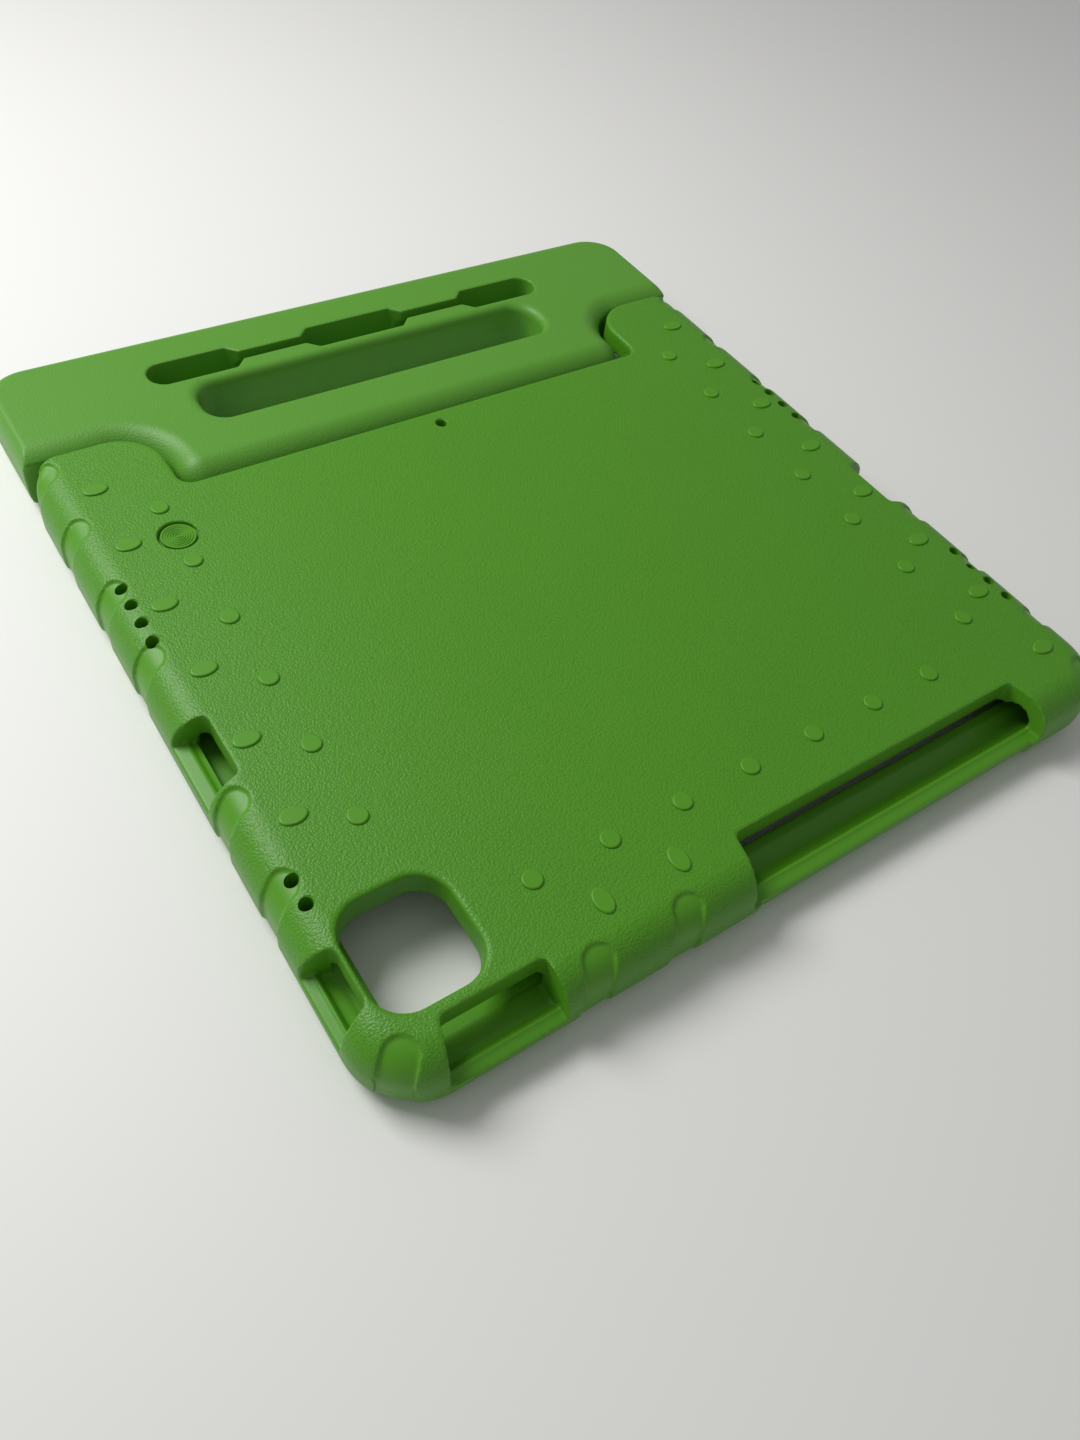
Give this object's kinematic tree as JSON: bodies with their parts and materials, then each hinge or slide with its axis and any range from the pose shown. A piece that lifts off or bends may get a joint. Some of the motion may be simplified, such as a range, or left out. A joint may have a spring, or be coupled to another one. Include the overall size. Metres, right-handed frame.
{
  "type": "kids tablet case",
  "caption": "Thick moulded foam case for a large tablet, with edge cut-outs, a camera window, raised dots and a hinged foam carrying handle with a pen slot.",
  "frame": {"origin": "on the surface that the case lies on, under the middle of the whole object with its handle laid out flat", "axes": "+Z out of the back panel, +Y from the pen side towards the handle, +X along the long side; the screen side faces down"},
  "size_m": [0.299, 0.3262, 0.0247],
  "materials": {
    "grained_foam": "matt green moulded foam with a fine leather grain",
    "smooth_foam": "satin green moulded foam, smoother than the body",
    "pin_plastic": "plain grey plastic, hidden in the foam"
  },
  "bodies": {
    "case": {"case_body": "grained_foam", "left_pivot_pin": "pin_plastic", "right_pivot_pin": "pin_plastic"},
    "handle": {"handle": "smooth_foam"}
  },
  "joints": [
    {"name": "handle_fold", "type": "hinge", "parent": "case", "child": "handle", "pos_m": [0, 0.0841, 0.012], "axis": [1, 0, 0], "range_deg": [0, 90]}
  ]
}
